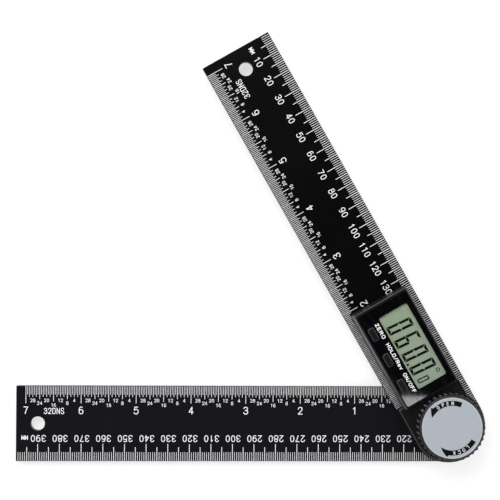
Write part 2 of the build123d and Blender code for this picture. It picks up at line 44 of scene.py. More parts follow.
# ---- arms ---------------------------------------------------------------------------------
# Both ruler arms are moulded in black plastic with a satin grain, and hang by the holes at their
# square ends. The lower one lies flat on the bench and holds the pivot stud in its round end.
class Wire:
    """One output of a finish's nodes. Sums of wires and numbers add Math nodes, so 2 * dust works."""

    def __init__(self, tree, socket):
        self.tree, self.socket = tree, socket

    def node(self, kind, settings=None, sockets=None, out=0):
        """Adds any other node: its settings first, a ramp's stops among them, then its sockets."""
        made = self.tree.nodes.new("ShaderNode" + kind)
        for name, value in (settings or {}).items():
            if name != "stops":
                setattr(made, name, value)
                continue
            ramp = made.color_ramp.elements
            while len(ramp) < len(value):
                ramp.new(1.0)
            for stop, (place, colour) in zip(ramp, value):
                stop.position, stop.color = place, (*colour, 1.0)
        for name, value in (sockets or {}).items():
            socket = made.inputs[name]
            if isinstance(value, Wire):
                self.tree.links.new(value.socket, socket)
            else:
                socket.default_value = (*value, 1.0) if socket.type == "RGBA" else value
        return Wire(self.tree, made.outputs[out])

    def maths(self, operation, first, second=0.0):
        return self.node("Math", {"operation": operation}, {0: first, 1: second})

    def __add__(self, other):
        return self.maths("ADD", self, other)

    def __sub__(self, other):
        return self.maths("SUBTRACT", self, other)

    def __mul__(self, other):
        return self.maths("MULTIPLY", self, other)

    def __truediv__(self, other):
        return self.maths("DIVIDE", self, other)

    __radd__ = __add__
    __rmul__ = __mul__

    def size(self):
        return self.maths("ABSOLUTE", self)

    def rise(self, low, high):
        """0 below low, 1 above high and a smooth slope between; the other way round if high is less."""
        return self.node("MapRange", {"interpolation_type": "SMOOTHSTEP"}, {0: self, 1: low, 2: high})

    def between(self, none, full):
        """The colour none where this is 0, and full where it is 1."""
        return self.node("Mix", {"data_type": "RGBA"}, {0: self, 6: none, 7: full}, out=2)

    def axis(self, number):
        return self.node("SeparateXYZ", None, {0: self}, out=number)

    def stretched(self, *scale):
        return self.node("Mapping", None, {"Vector": self, "Scale": scale})

    def grain(self, fineness, detail=2.0):
        """Cloudy noise from 0 to 1, with about that many clouds to the millimetre."""
        return self.node("TexNoise", None, {"Vector": self, "Scale": fineness, "Detail": detail})

    def relief(self, depth):
        """A bump from this height, from 0 to 1, with the depth in millimetres."""
        return self.node("Bump", None, {"Strength": 1.0, "Distance": depth * MM, "Height": self})


class Finish:
    """A piece's finish: its shader with the even values, and the piece's own coordinates in millimetres."""

    def __init__(self, name, turn=0.0, **even):
        self.material = bpy.data.materials.new(name)
        self.material.use_nodes = True
        tree = self.material.node_tree
        self.shader = tree.nodes["Principled BSDF"]
        for socket, value in even.items():
            self.shader.inputs[socket.replace("_", " ")].default_value = value
        corner = Wire(tree, tree.nodes.new("ShaderNodeTexCoord").outputs["Object"])
        self.place = corner.node("Mapping", None, {
            "Vector": corner, "Rotation": (0.0, 0.0, -turn), "Scale": (1 / MM, 1 / MM, 1 / MM)})

    def radius(self):
        """Distance from the pivot's axis in millimetres."""
        x, y = self.place.axis(0), self.place.axis(1)
        return x.maths("SQRT", x * x + y * y)

    def gets(self, **varied):
        """Links what changes over the surface to the shader."""
        for socket, wire in varied.items():
            wire.tree.links.new(wire.socket, self.shader.inputs[socket.replace("_", " ")])

    def on(self, *nodes):
        """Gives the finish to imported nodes, in place of their own."""
        for name in nodes:
            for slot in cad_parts[name].material_slots:
                slot.material = self.material


ARM_WIDTH = 34.8
ARM_REACH = 200.0           # pivot to the square end
UPPER_TURN = math.radians(120.0)


def arm_finish(name, turn, shade):
    """Satin black: a fine moulded grain, long faint rubs along the arm, and edges rubbed a little paler."""
    black = Finish(name, turn, Specular_IOR_Level=0.2)
    across = black.place.axis(1).size()
    grain = black.place.grain(7.0, 3.0)
    rubs = black.place.stretched(0.05, 2.2, 1.0).grain(1.0, 4.0).rise(0.62, 0.74)
    clouds = black.place.grain(0.06, 3.0)
    edge = across.rise(ARM_WIDTH / 2 - 0.35, ARM_WIDTH / 2 - 0.05) * black.place.grain(1.3).rise(0.35, 0.7)
    wear = rubs * 0.35 + edge * 0.5
    black.gets(
        Base_Color=wear.between((shade, shade, 1.3 * shade), (0.012, 0.012, 0.013)),
        Roughness=0.24 + 0.08 * clouds + 0.06 * grain - 0.06 * rubs,
        Normal=(grain + 0.2 * rubs).relief(0.002),
    )
    return black


# The lower arm's black is paler than the upper arm's: a painted sheen for the softbox reflection that the
# lower arm catches. Both arms are the same plastic.
arm_finish("lower_arm_black", 0.0, 0.0055).on("lower_arm")
arm_finish("upper_arm_black", UPPER_TURN, 0.0006).on("upper_arm")


# ---- printed scales -----------------------------------------------------------------------
# Both arms are screen printed in white: millimetres along the outer edge, from 0 to 200 on the
# upper arm and on to 400 on the lower, and 32nds of an inch along the inner edge.
INK_FILM = 0.02
INK_CLIMB = 0.002           # a film's last station is this much thicker than its first
INK_STEP = 0.003            # and each stroke of a letter than the one before, so none meet in a plane


def film(right, left, bottom, thick=INK_FILM):
    """A flat film of ink between a right and a left edge in mm: at each station a four-cornered
    profile, thick and a little more by the last, carried from end to end and closed at both."""
    flat = np.stack([right, left, left, right], axis=1)
    low = np.full(len(flat), bottom)
    top = low + thick + np.linspace(0.0, INK_CLIMB, len(flat))
    high = np.stack([top, top, low, low], axis=1)
    points = np.concatenate([flat, high[:, :, None]], axis=2).reshape(-1, 3)
    i, j = np.meshgrid(np.arange(len(flat) - 1), np.arange(4), indexing="ij")
    k = (j + 1) % 4
    quads = np.stack([4 * i + j, 4 * i + 4 + j, 4 * i + 4 + k, 4 * i + k], axis=-1).reshape(-1, 4)
    last = len(points) - 4
    return points, quads, np.array([[0, 1, 2, 3], [last + 3, last + 2, last + 1, last]])


def ribbon(path, half_width, bottom, thick=INK_FILM):
    """The film whose edges lie half_width to the right and left of a path, square to it."""
    ahead = np.gradient(path, axis=0)
    ahead /= np.linalg.norm(ahead, axis=1, keepdims=True)
    left = np.stack([-ahead[:, 1], ahead[:, 0]], axis=1) * half_width[:, None]
    return film(path - left, path + left, bottom, thick)


SPLINE_STEPS = 6


def pen_stroke(corners, weight, bottom, thick):
    """A pen stroke: the quadratic spline of its corners, whose pieces run from middle to middle of
    the corners' lines, as (1-t)^2 a + 2t(1-t) b + t^2 c, with half-round ends as wide as the pen."""
    corners = np.asarray(corners, float)
    if len(corners) == 2:
        line = corners[0] + np.linspace(0, 1, 3)[:, None] * (corners[1] - corners[0])
    else:
        middle = (corners[:-1] + corners[1:]) / 2
        middle[0], middle[-1] = corners[0], corners[-1]
        t = np.linspace(0, 1, SPLINE_STEPS + 1)[None, 1:, None]
        a, b, c = middle[:-1, None], corners[1:-1, None], middle[1:, None]
        line = ((1 - t) ** 2 * a + 2 * t * (1 - t) * b + t**2 * c).reshape(-1, 2)
        line = np.concatenate([corners[:1], line])
    pen = weight / 2
    round_end = np.radians([78.0, 50.0, 22.0])
    start = (line[0] - line[1]) / np.linalg.norm(line[0] - line[1])
    end = (line[-1] - line[-2]) / np.linalg.norm(line[-1] - line[-2])
    path = np.concatenate([
        line[0] + pen * np.sin(round_end)[:, None] * start,
        line,
        line[-1] + pen * np.sin(round_end[::-1])[:, None] * end,
    ])
    half = np.concatenate([pen * np.cos(round_end), np.full(len(line), pen), pen * np.cos(round_end[::-1])])
    return ribbon(path, half, bottom, thick)


# Each letter is one to four strokes in a cell one high; its first number is the cell's width.
LETTERS = {
    "0": (0.56, [(0, 0.5), (0, 1), (0.56, 1), (0.56, 0), (0, 0), (0, 0.5)]),
    "1": (0.56, [(0.1, 0.78), (0.32, 1)], [(0.32, 1), (0.32, 0)]),
    "2": (0.56, [(0.01, 0.74), (0.01, 1.01), (0.55, 1.01), (0.57, 0.6), (0.3, 0.36), (0, 0)],
          [(0, 0), (0.57, 0)]),
    "3": (0.56, [(0.02, 0.82), (0.06, 1.01), (0.54, 1.01), (0.54, 0.53), (0.22, 0.53)],
          [(0.22, 0.53), (0.58, 0.53), (0.58, 0), (0.02, -0.02), (0, 0.2)]),
    "4": (0.56, [(0.42, 0), (0.42, 1)], [(0.42, 1), (0, 0.27)], [(0, 0.27), (0.6, 0.27)]),
    "5": (0.56, [(0.52, 1), (0.08, 1)], [(0.08, 1), (0.04, 0.54)],
          [(0.04, 0.54), (0.16, 0.68), (0.58, 0.66), (0.58, 0), (0.04, -0.03), (0, 0.18)]),
    "6": (0.56, [(0.46, 0.96), (0.2, 1.04), (0, 0.8), (0, 0.3)],
          [(0, 0.3), (0, 0.62), (0.56, 0.62), (0.56, 0), (0, 0), (0, 0.3)]),
    "7": (0.56, [(0, 1), (0.56, 1)], [(0.56, 1), (0.28, 0.5), (0.2, 0)]),
    "8": (0.56, [(0.28, 0.55), (0.04, 0.55), (0.04, 1.01), (0.52, 1.01), (0.52, 0.55), (0.28, 0.55)],
          [(0.28, 0.55), (-0.03, 0.55), (-0.03, -0.01), (0.59, -0.01), (0.59, 0.55), (0.28, 0.55)]),
    "9": (0.56, [(0.1, 0.04), (0.36, -0.04), (0.56, 0.2), (0.56, 0.7)],
          [(0.56, 0.7), (0.56, 0.38), (0, 0.38), (0, 1), (0.56, 1), (0.56, 0.7)]),
    "C": (0.6, [(0.6, 0.76), (0.58, 1), (0, 1.04), (0, -0.04), (0.58, 0), (0.6, 0.24)]),
    "D": (0.6, [(0, 0), (0, 1)], [(0, 1), (0.25, 1), (0.6, 1), (0.6, 0), (0.25, 0), (0, 0)]),
    "E": (0.5, [(0, 0), (0, 1)], [(0, 1), (0.5, 1)], [(0, 0.52), (0.42, 0.52)], [(0, 0), (0.5, 0)]),
    "F": (0.5, [(0, 0), (0, 1)], [(0, 1), (0.5, 1)], [(0, 0.52), (0.42, 0.52)]),
    "H": (0.58, [(0, 0), (0, 1)], [(0.58, 0), (0.58, 1)], [(0, 0.52), (0.58, 0.52)]),
    "K": (0.56, [(0, 0), (0, 1)], [(0.54, 1), (0, 0.4)], [(0.2, 0.6), (0.58, 0)]),
    "L": (0.48, [(0, 0), (0, 1)], [(0, 0), (0.48, 0)]),
    "M": (0.72, [(0, 0), (0, 1)], [(0, 1), (0.36, 0.3)], [(0.36, 0.3), (0.72, 1)], [(0.72, 1), (0.72, 0)]),
    "N": (0.58, [(0, 0), (0, 1)], [(0, 1), (0.58, 0)], [(0.58, 0), (0.58, 1)]),
    "O": (0.64, [(0, 0.5), (0, 1.02), (0.64, 1.02), (0.64, -0.02), (0, -0.02), (0, 0.5)]),
    "P": (0.54, [(0, 0), (0, 1)], [(0, 1), (0.3, 1), (0.56, 1), (0.56, 0.46), (0.3, 0.46), (0, 0.46)]),
    "R": (0.56, [(0, 0), (0, 1)], [(0, 1), (0.3, 1), (0.56, 1), (0.56, 0.5), (0.3, 0.5), (0, 0.5)],
          [(0.3, 0.5), (0.56, 0)]),
    "S": (0.54, [(0.52, 0.82), (0.5, 1.02), (0, 1.04), (0, 0.54), (0.54, 0.48), (0.56, -0.04),
                 (0.02, -0.02), (0, 0.2)]),
    "Z": (0.54, [(0, 1), (0.54, 1)], [(0.54, 1), (0, 0)], [(0, 0), (0.54, 0)]),
    "e": (0.46, [(0, 0.36), (0.46, 0.36)], [(0.46, 0.36), (0.46, 0.7), (0, 0.72), (0, 0), (0.44, -0.04),
                                            (0.46, 0.14)]),
    "v": (0.46, [(0, 0.68), (0.23, 0)], [(0.23, 0), (0.46, 0.68)]),
    "/": (0.4, [(0, -0.04), (0.4, 1.04)]),
}
LETTER_GAP = 0.34           # between two cells


def lettering(words, middle, reading, height, weight, bottom, length=None):
    """Pen letters side by side, centred at middle and read along the angle given; a point (x, y) of a
    cell goes to middle + x along + y up, and the cells are narrowed or widened to the length asked."""
    wide = np.array([LETTERS[c][0] for c in words])
    left = np.concatenate([[0], np.cumsum(wide + LETTER_GAP)[:-1]])
    whole = left[-1] + wide[-1]
    rise = height - weight
    stretch = (length - weight) / whole if length else rise
    along = np.array([math.cos(reading), math.sin(reading)])
    up = np.array([-along[1], along[0]])
    made = []
    for start, letter in zip(left, words):
        for order, stroke in enumerate(LETTERS[letter][1:]):
            x, y = np.array(stroke, float).T
            placed = np.asarray(middle) + np.outer((start + x - whole / 2) * stretch, along)
            made.append(pen_stroke(placed + np.outer((y - 0.5) * rise, up), weight, bottom,
                                   INK_FILM + order * INK_STEP))
    return made


def bars(middles, widths, lengths, reading, bottom):
    """Upright-edged bars of ink: middle plus or minus half the width along the reading direction and
    half the length across it, as thick as the film."""
    along = np.array([math.cos(reading), math.sin(reading)])
    up = np.array([-along[1], along[0]])
    corner = np.array([(-0.5, -0.5), (0.5, -0.5), (0.5, 0.5), (-0.5, 0.5)])
    flat = (middles[:, None] + (corner[:, 0] * widths[:, None])[:, :, None] * along
            + (corner[:, 1] * lengths[:, None])[:, :, None] * up)
    low = np.full(flat.shape[:2] + (1,), bottom)
    points = np.concatenate([np.concatenate([flat, low], 2), np.concatenate([flat, low + INK_FILM], 2)], 1)
    faces = np.array([(3, 2, 1, 0), (4, 5, 6, 7), (0, 1, 5, 4), (1, 2, 6, 5), (2, 3, 7, 6), (3, 0, 4, 7)])
    quads = faces[None] + 8 * np.arange(len(middles))[:, None, None]
    return points.reshape(-1, 3), quads.reshape(-1, 4)


def piece(name, surfaces, finish, body):
    """One object that rides a body. Each surface is its points in mm and one or more arrays of faces."""
    faces, count = [], 0
    for points, *groups in surfaces:
        for group in groups:
            faces.extend((group + count).tolist())
        count += len(points)
    mesh = bpy.data.meshes.new(name)
    mesh.from_pydata((np.concatenate([s[0] for s in surfaces]) * MM).tolist(), [], faces)
    mesh.materials.append(finish.material)
    made = bpy.data.objects.new(name, mesh)
    bpy.context.scene.collection.objects.link(made)
    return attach(made, body)


def ink_finish(name, colour, worn, specular=0.25):
    """Screen print: nearly even, a little thinner in small patches, with a dry, very fine tooth."""
    ink = Finish(name, Specular_IOR_Level=specular)
    thin = ink.place.grain(2.5, 4.0).rise(0.55, 0.8)
    tooth = ink.place.grain(14.0)
    ink.gets(
        Base_Color=(thin * 0.5).between(colour, worn),
        Roughness=0.55 + 0.15 * tooth,
        Normal=tooth.relief(0.003),
    )
    return ink


white_ink = ink_finish("white_ink", (0.80, 0.81, 0.83), (0.56, 0.57, 0.59))

INCH = 25.4
INCHES, PARTS = 7, 32
INCH_ZERO = 17.75           # pivot to the zero of the inch scale
PRINT_EDGE = 17.24          # the print stops at the arm's bevelled edge
MM_SIDE, INCH_SIDE = 1, -1  # towards the outer edge and the inner one
MM_TICKS = {1: 4.2, 5: 6.5, 10: 8.0}            # length from the arm's edge
INCH_TICKS = {1: 4.0, 2: 5.1, 8: 6.1, 16: 7.2, 32: 8.0}
BOLD_FROM = 5.7             # marks longer than this take the wider of two pens
MM_PENS, INCH_PENS = (0.205, 0.28), (0.195, 0.24)
FIRST_MARK, LAST_MARK, LEAST_MARK = 2.5, 199.8, 0.4     # from the pivot, and the shortest drawn

# What covers the upper arm's print: the display box, its shoulder and the boss. The upper arm's own
# round end covers the lower arm's.
BOX_SIDE, BOX_FAR, BOX_SHOULDER, BOSS, ARM_ROUND = 14.35, 67.0, 18.25, 16.9, 17.35
NUMBERS_FROM_BOX, NUMBERS_FROM_ROUND = 68.5, 19.0


def tick_lengths(count, steps):
    """For each mark 0, 1, 2 ... the length of the coarsest step that its number is a multiple of."""
    number = np.arange(count + 1)
    length = np.zeros(count + 1)
    for step, value in sorted(steps.items()):
        length[number % step == 0] = value
    return length


def arm_scales(name, out, edge, bottom, under_box, body):
    """Marks and numbers of one arm. A mark stands at its distance from the pivot and reaches in from
    the edge by its length; marks are cut back where the box, the boss or the other arm covers them."""

    def cut_back(along, length):
        """How far from the arm's middle line each mark ends."""
        box = np.where(along < BOX_FAR, BOX_SIDE, 0.0) if under_box else 0.0
        round_part = np.sqrt(np.clip((BOSS if under_box else ARM_ROUND)**2 - along**2, 0, None))
        return np.maximum(ARM_WIDTH / 2 - length, np.maximum(box, round_part))

    parts = []
    mm_along = np.arange(0, ARM_REACH + 0.5)
    mm_long = tick_lengths(int(ARM_REACH), MM_TICKS)
    inch_along = INCH_ZERO + np.arange(0, INCHES * PARTS + 1) * INCH / PARTS
    inch_long = tick_lengths(INCHES * PARTS, INCH_TICKS)
    for along, length, side, (fine, bold) in ((mm_along, mm_long, MM_SIDE, MM_PENS),
                                              (inch_along, inch_long, INCH_SIDE, INCH_PENS)):
        inner = cut_back(along, length)
        first = BOX_SHOULDER if under_box and side == INCH_SIDE else FIRST_MARK
        kept = (PRINT_EDGE - inner > LEAST_MARK) & (along > first) & (along < LAST_MARK)
        wide = np.where(length > BOLD_FROM, bold, fine)[kept]
        along, inner = along[kept], inner[kept]
        middle = along[:, None] * out + side * (PRINT_EDGE + inner)[:, None] / 2 * edge
        parts.append(bars(middle, wide, PRINT_EDGE - inner, math.atan2(out[1], out[0]), bottom))

    def label(words, along, off_edge, side, height, weight, length=None):
        """Words beside the marks of one side, with their tops towards that edge."""
        place = along * out + side * (ARM_WIDTH / 2 - off_edge) * edge
        top = side * edge
        parts.extend(lettering(words, place, math.atan2(-top[0], top[1]), height, weight, bottom, length))

    shown_from = NUMBERS_FROM_BOX if under_box else NUMBERS_FROM_ROUND
    shift, off_edge = (0.0, 10.75) if under_box else (0.3, 10.5)
    for tens in range(10, 200, 10):
        if ARM_REACH - tens >= shown_from:
            label(str(tens if under_box else 400 - tens), ARM_REACH - tens - shift, off_edge, MM_SIDE,
                  height=3.1, weight=0.35)
    label("MM", 196.0, 10.9, MM_SIDE, height=2.1, weight=0.34, length=3.0)
    for whole in range(1, INCHES + 1):
        if INCH_ZERO + whole * INCH >= shown_from:
            label(str(whole), INCH_ZERO + whole * INCH, 11.3, INCH_SIDE, height=3.5, weight=0.38)
        for part, off_edge in ((4, 6.7), (8, 7.95), (12, 6.7), (16, 8.9), (20, 6.7), (24, 7.95), (28, 6.7)):
            along = INCH_ZERO + (whole - 1 + part / PARTS) * INCH
            if along >= shown_from + 1:
                label(str(part), along, off_edge, INCH_SIDE, height=1.62, weight=0.21)
    label("32DNS", 182.6, 11.6, INCH_SIDE, height=2.8, weight=0.32, length=9.3)
    piece(name, parts, white_ink, body)


UPPER_OUT = np.array([math.cos(UPPER_TURN), math.sin(UPPER_TURN)])
UPPER_EDGE = np.array([math.sin(UPPER_TURN), -math.cos(UPPER_TURN)])
LOWER_TOP, UPPER_TOP = 3.0, 6.3
arm_scales("lower_scales", np.array([-1.0, 0.0]), np.array([0.0, -1.0]), LOWER_TOP, False, "base")
arm_scales("upper_scales", UPPER_OUT, UPPER_EDGE, UPPER_TOP, True, "display_arm")


# ---- pivot --------------------------------------------------------------------------------
# A steel stud holds the arms together. Its turned head sits in the lower arm under a flush black
# cap, a brass bush lines the upper arm, and a thin nylon ring keeps the arms apart.
def turned_finish(name, colour, roughness, depth):
    """Lathe-turned metal: fine rings, as a wave of the radius and the height, and slight tarnish."""
    metal = Finish(name, Metallic=1.0)
    ring = metal.place.maths("SINE", metal.radius() * 42.0 + metal.place.axis(2) * 42.0) * 0.5 + 0.5
    tarnish = metal.place.grain(0.8, 4.0).rise(0.45, 0.8)
    metal.gets(
        Base_Color=(tarnish * 0.45).between(colour, tuple(0.55 * c for c in colour)),
        Roughness=roughness + 0.1 * tarnish + 0.06 * ring,
        Normal=ring.relief(depth),
    )
    return metal


def moulded_finish(name, colour, paler, roughness, fineness, depth, turn=0.0, specular=0.35):
    """Moulded plastic with a sparked grain: cells and fine noise in relief, paler where it is rubbed.
    The fineness is in cells to the millimetre and the relief's depth in millimetres."""
    plastic = Finish(name, turn, Specular_IOR_Level=specular)
    pits = plastic.place.node("TexVoronoi", None, {"Vector": plastic.place, "Scale": fineness})
    grain = 0.6 * pits + 0.4 * plastic.place.grain(fineness * 1.7, 3.0)
    rubbed = plastic.place.grain(0.25, 5.0).rise(0.55, 0.8)
    plastic.shade = (rubbed * 0.5 + grain * 0.25).between(colour, paler)
    plastic.gets(
        Base_Color=plastic.shade,
        Roughness=roughness + 0.15 * grain - 0.08 * rubbed,
        Normal=grain.relief(depth),
    )
    return plastic


turned_finish("turned_steel", (0.56, 0.56, 0.57), 0.28, 0.003).on("pivot_stud", "stop_screw", "thrust_washer")
turned_finish("turned_brass", (0.72, 0.50, 0.20), 0.26, 0.003).on("pivot_bush", "knob_insert")
moulded_finish("cap_black", (0.008, 0.008, 0.009), (0.03, 0.03, 0.032), 0.42, 5.0, 0.01).on("stud_cap")
moulded_finish("nylon_natural", (0.60, 0.59, 0.53), (0.72, 0.71, 0.66), 0.45, 3.0, 0.006).on("friction_ring")


# ---- angle encoder ------------------------------------------------------------------------
# Two ring-shaped circuit boards face each other between the arms, one let into each. Gilt sectors
# on green lacquer make the angle's capacitive pattern, and an inner ring closes the circuit.
def encoder_finish(name, sectors):
    """Green lacquer with copper fields: a field where the angle times the count is in its first half,
    between two radii, and one closed ring inside them."""
    board = Finish(name, Specular_IOR_Level=0.6)
    radius = board.radius()
    angle = board.place.maths("ARCTAN2", board.place.axis(1), board.place.axis(0)) / (2 * math.pi) + 0.5
    share = board.place.maths("FRACT", angle * sectors)
    field = (share.rise(0.04, 0.08) * share.rise(0.52, 0.48)
             * radius.rise(9.0, 9.1) * radius.rise(12.6, 12.5))
    ring = radius.rise(7.5, 7.6) * radius.rise(8.4, 8.3)
    copper = board.place.maths("MAXIMUM", field, ring)
    weave = board.place.grain(3.0, 2.0)
    board.gets(
        Base_Color=copper.between((0.010, 0.075, 0.028), (0.62, 0.42, 0.16)),
        Metallic=copper,
        Roughness=0.24 + 0.12 * weave + 0.08 * copper,
        Normal=(copper * 0.8 + weave * 0.2).relief(0.02),
    )
    return board


encoder_finish("encoder_lacquer_fine", 48).on("encoder_rotor")
encoder_finish("encoder_lacquer_coarse", 16).on("encoder_stator")


# ---- housing ------------------------------------------------------------------------------
# The display box and the round boss are one drafted moulding in matt black, with a coarse sparked
# grain. Four flat-headed screws hold it from below, through the upper arm.
def housing_finish():
    """Matt black, with grey patches painted where a place is far enough aside and high enough: on the edges
    along the box's top, a painted highlight for the light the drafted walls reflect."""
    black = moulded_finish("housing_black", (0.002, 0.002, 0.0026), (0.007, 0.007, 0.008), 0.26, 3.2,
                           0.006, UPPER_TURN, 0.5)
    aside = black.place.axis(1).size().rise(13.5, 13.7)
    high = black.place.axis(2).rise(10.4, 11.2)
    # Painted highlight: the grey patches on the box's top edges stand for light reflected in the walls, not
    # for rubbing.
    rubbed = aside * high * black.place.grain(0.5, 3.0).rise(0.25, 0.5)
    black.gets(Base_Color=rubbed.between(black.shade, (0.085, 0.085, 0.095)))
    return black


housing_finish().on("housing")

SCREW_ALONG, SCREW_ASIDE = (20.2, 62.38), (10.14, -10.14)      # along the arm and to its sides
SCREW_FACE, SCREW_END = 3.3, 8.7        # heights of its face and its end
SCREW_HEAD, SCREW_HEIGHT, SCREW_SHANK, SCREW_PITCH = 3.6, 0.9, 1.9, 0.6
FACE_RINGS, THREAD_RINGS, SCREW_SIDES = 16, 34, 48


def cross_screw(middle, turn):
    """A flat-headed screw, head down: rings from the middle of its face out, up its rim and its shank,
    at angle a, as (r cos a, r sin a, z). A cross sinks into the face, and the radius of the shank
    falls back as 1 + cos(a - 2 pi z / pitch) between the crests of its thread."""
    rim, shank, n = SCREW_HEAD / 2, SCREW_SHANK / 2, SCREW_SIDES
    face = np.linspace(0.02, rim - 0.06, FACE_RINGS)
    head_top = SCREW_FACE + SCREW_HEIGHT
    thread = np.linspace(head_top + 0.1, SCREW_END - 0.3, THREAD_RINGS)
    radius = np.concatenate([face, [rim, rim, shank], shank + 0 * thread, [0.5 * shank, 0.02]])
    level = np.concatenate([SCREW_FACE + 0 * face, [SCREW_FACE + 0.06, head_top, head_top],
                            thread, [SCREW_END, SCREW_END]])
    r, a = np.meshgrid(radius, np.linspace(0, 2 * np.pi, n + 1)[:-1], indexing="ij")
    z = np.repeat(level[:, None], n, axis=1)
    cut = slice(FACE_RINGS + 3, FACE_RINGS + 3 + THREAD_RINGS)
    r[cut] -= 0.07 * (1 + np.cos(a[cut] - z[cut] * 2 * np.pi / SCREW_PITCH))
    arm = np.minimum(np.abs(np.sin(a - turn)), np.abs(np.cos(a - turn))) * r
    sunk = np.clip((0.27 - arm) / 0.08, 0, 1) * np.clip((1.15 - r) / 0.25, 0, 1)
    z[:FACE_RINGS] += (sunk * (0.75 - 0.35 * r / rim))[:FACE_RINGS]
    points = np.stack([middle[0] + r * np.cos(a), middle[1] + r * np.sin(a), z], -1).reshape(-1, 3)
    i, j = np.meshgrid(np.arange(len(radius) - 1), np.arange(n), indexing="ij")
    k = (j + 1) % n
    quads = np.stack([n * i + j, n * i + k, n * i + n + k, n * i + n + j], -1).reshape(-1, 4)
    ring = np.arange(n)
    return points, quads, np.stack([ring[::-1], len(points) - n + ring])


screws = piece(
    "cross_screws",
    [cross_screw(along * UPPER_OUT + aside * UPPER_EDGE, along + aside)
     for along in SCREW_ALONG for aside in SCREW_ASIDE],
    turned_finish("screw_steel", (0.42, 0.42, 0.43), 0.33, 0.002),
    "display_arm",
)
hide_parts("housing_screws")


# ---- display window -----------------------------------------------------------------------
# A clear acrylic plate is let into the top of the box, a little below its rim. It is printed glossy
# black but for a round-cornered opening over the display. The buttons come up through three holes.
OPENING_NEAR, OPENING_FAR = 22.35, 59.85        # from the pivot
OPENING_LOW, OPENING_HIGH = -10.6, 4.35         # across the arm, from its middle
OPENING_ROUND = 1.0


def window_finish():
    """Gloss black, clear where the distance to a round-cornered rectangle, the length of
    max(|p - middle| - half, 0), is under the corner's radius; with a trace of dust and wiping."""
    plate = Finish("window_black", UPPER_TURN, Specular_IOR_Level=0.5)
    x, y = plate.place.axis(0), plate.place.axis(1)

    def beyond(value, low, high):
        spread = (value - (low + high) / 2).size() - ((high - low) / 2 - OPENING_ROUND)
        return spread.maths("MAXIMUM", spread, 0.0)

    out_x = beyond(x, OPENING_NEAR, OPENING_FAR)
    out_y = beyond(y, OPENING_LOW, OPENING_HIGH)
    away = x.maths("SQRT", out_x * out_x + out_y * out_y)
    black = away.rise(OPENING_ROUND - 0.04, OPENING_ROUND + 0.04)
    wiped = plate.place.stretched(0.06, 0.5, 1.0).grain(1.0, 5.0).rise(0.5, 0.8)
    dust = plate.place.grain(9.0, 1.0).rise(0.74, 0.78)
    plate.gets(
        Base_Color=(dust * 0.5 + wiped * 0.1).between((0.0015, 0.0015, 0.002), (0.05, 0.05, 0.05)),
        Roughness=0.03 + 0.05 * wiped + 0.2 * dust,
        Alpha=black * 0.92 + 0.08,
    )
    return plate


window_finish().on("display_window")


# ---- liquid crystal display ---------------------------------------------------------------
# Two thin panes with a reflecting film behind them: a grey green ground, paler at its sealed border.
# Dark segments show the angle, here 060.0, with a small digit for hundredths and a raised ring.
def display_finish():
    """Grey green, mixed to a warmer green towards the far end and to pale grey in a border band."""
    glass = Finish("display_ground", UPPER_TURN, Specular_IOR_Level=0.5, Coat_Weight=0.6,
                   Coat_Roughness=0.04)
    x, y = glass.place.axis(0), glass.place.axis(1)
    far = x.rise(28.0, 58.0)
    inside = (x - 41.1).size().rise(18.2, 17.8) * (y + 3.12).size().rise(6.95, 6.55)
    cloud = glass.place.grain(0.18, 3.0)
    speck = glass.place.grain(12.0, 2.0)
    ground = far.between((0.31, 0.385, 0.285), (0.31, 0.395, 0.265))
    border = far.between((0.37, 0.43, 0.345), (0.33, 0.415, 0.27))
    glass.gets(
        Base_Color=(cloud * 0.2 + speck * 0.1).between(inside.between(border, ground), (0.40, 0.45, 0.37)),
        Roughness=0.30 + 0.10 * speck + 0.05 * cloud,
    )
    return glass


display_finish().on("lcd_glass")

SEGMENT_PEN, SEGMENT_GAP, SEGMENT_SLANT = 1.22, 0.12, 0.075     # width, space and lean of the bars


def flat_plate(outline, bottom):
    """A film with straight edges: the outline's points below and above, one face each, and walls."""
    n = len(outline)
    low = np.column_stack([outline, np.full(n, bottom)])
    points = np.concatenate([low, low + (0, 0, INK_FILM)])
    i = np.arange(n)
    walls = np.stack([i, (i + 1) % n, n + (i + 1) % n, n + i], axis=1)
    return points, np.stack([i[::-1]]), np.stack([n + i]), walls


def segment_digit(shown, start, low, width, height, pen, bottom):
    """Mitred bars of a seven-part digit. Three bars are drawn, and the others are the same ones
    mirrored in the digit's middle, with their points in reverse order. x runs towards the pivot, and
    grows by the slant times the height above the middle."""
    gap, half, top = SEGMENT_GAP * pen / SEGMENT_PEN, height / 2, height
    cap = [(gap, top), (pen + gap, top - pen), (width - pen - gap, top - pen), (width - gap, top)]
    side = [(0, top - gap), (0, half + gap / 2), (pen / 2, half + gap / 2), (pen, half + pen / 2 + gap / 2),
            (pen, top - pen - gap)]
    bar = [(pen / 2 + gap, half), (pen + gap, half - pen / 2), (width - pen - gap, half - pen / 2),
           (width - pen / 2 - gap, half), (width - pen - gap, half + pen / 2), (pen + gap, half + pen / 2)]
    drawn = {"a": (cap, 0, 0), "b": (side, 1, 0), "c": (side, 1, 1), "d": (cap, 0, 1),
             "e": (side, 0, 1), "f": (side, 0, 0), "g": (bar, 0, 0)}
    made = []
    for name in shown:
        outline, across, upside = drawn[name]
        outline = np.array(outline)
        if across:
            outline[:, 0] = width - outline[:, 0]
        if upside:
            outline[:, 1] = height - outline[:, 1]
        if across != upside:
            outline = outline[::-1]
        along = start - outline[:, 0] - SEGMENT_SLANT * (outline[:, 1] - half)
        flat = np.outer(along, UPPER_OUT) + np.outer(low + outline[:, 1], UPPER_EDGE)
        made.append(flat_plate(flat, bottom))
    return made


def ring_of_ink(middle, radius, pen, bottom):
    """A ribbon round a circle."""
    a = np.linspace(0, 2 * np.pi, 41)
    path = middle + radius * np.stack([np.cos(a), np.sin(a)], axis=1)
    return ribbon(path, np.full(len(a), pen / 2), bottom)


